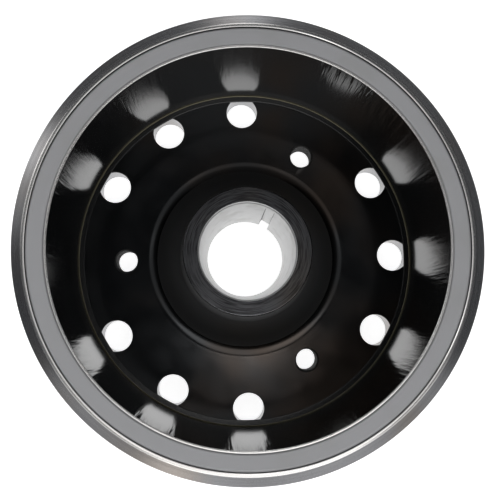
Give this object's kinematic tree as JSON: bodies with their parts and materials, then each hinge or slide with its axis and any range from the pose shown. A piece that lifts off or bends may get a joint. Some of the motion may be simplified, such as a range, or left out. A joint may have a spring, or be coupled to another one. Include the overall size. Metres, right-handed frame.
{
  "type": "magneto flywheel",
  "caption": "Cup-shaped magneto flywheel with arc magnets behind a thin liner, a keyed taper hub and a drilled web.",
  "frame": {"origin": "where the crank axis meets the flat nut-side face of the web", "axes": "+Z along the crank axis from the nut side to the open engine side, +Y through the keyway and the puller hole in line with it"},
  "size_m": [0.149, 0.1475, 0.0665],
  "materials": {
    "cup_steel": "forged and turned steel under a thin dark protective film, bright where turned last",
    "liner_black": "gloss black coating on drawn sheet steel",
    "ring_plating": "satin grey plated steel",
    "magnet": "sintered and ground, dark grey",
    "cage_plastic": "moulded black plastic"
  },
  "bodies": {
    "root": {"rotor_cup": "cup_steel", "magnet_liner": "liner_black", "magnet_cage": "cage_plastic", "end_ring": "ring_plating", "magnet_01": "magnet", "magnet_02": "magnet", "magnet_03": "magnet", "magnet_04": "magnet", "magnet_05": "magnet", "magnet_06": "magnet", "magnet_07": "magnet", "magnet_08": "magnet", "magnet_09": "magnet", "magnet_10": "magnet", "magnet_11": "magnet", "magnet_12": "magnet"}
  },
  "joints": []
}
